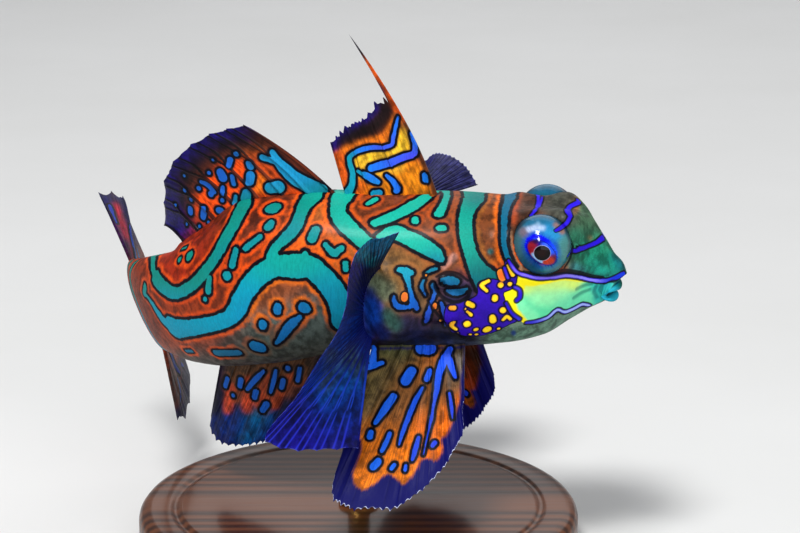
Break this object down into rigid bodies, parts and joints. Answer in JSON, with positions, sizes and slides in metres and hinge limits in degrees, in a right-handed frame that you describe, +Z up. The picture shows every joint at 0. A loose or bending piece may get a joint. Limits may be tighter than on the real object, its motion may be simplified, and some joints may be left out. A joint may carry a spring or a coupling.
{
  "type": "mandarinfish display model",
  "caption": "Life-size still model of a hovering mandarinfish, body leant and tail curved away, on a round base with one rod.",
  "frame": {"origin": "centre of the stand's underside", "axes": "+X towards the fish's head, +Z up, -Z out of the stand's underside"},
  "size_m": [0.0549, 0.0553, 0.0528],
  "materials": {
    "head_skin": "moist smooth skin, green-blue with purple lines",
    "trunk_skin": "moist smooth skin, orange with blue-green bands edged black",
    "tail_skin": "moist smooth skin, orange with blue-green bands edged black",
    "eye_surface": "wet and glossy, blue-green with a dark pupil",
    "first_dorsal_membrane": "thin satin membrane, orange and yellow with blue lines",
    "second_dorsal_membrane": "thin satin membrane, navy over orange",
    "anal_membrane": "thin satin membrane, brown over navy",
    "caudal_membrane": "thin satin membrane, navy",
    "pectoral_membrane": "thin satin membrane, deep blue",
    "pelvic_membrane": "thin satin membrane, orange with blue spots and a navy margin",
    "dark_wood": "satin varnished",
    "brass": "satin"
  },
  "bodies": {
    "root": {"body_head": "head_skin", "body_trunk": "trunk_skin", "body_tail": "tail_skin", "eye_left": "eye_surface", "eye_right": "eye_surface", "dorsal_fin_first": "first_dorsal_membrane", "dorsal_fin_second": "second_dorsal_membrane", "anal_fin": "anal_membrane", "caudal_fin": "caudal_membrane", "pectoral_fin_left": "pectoral_membrane", "pectoral_fin_right": "pectoral_membrane", "pelvic_fin_left": "pelvic_membrane", "pelvic_fin_right": "pelvic_membrane", "stand_base": "dark_wood", "stand_rod": "brass"}
  },
  "joints": []
}
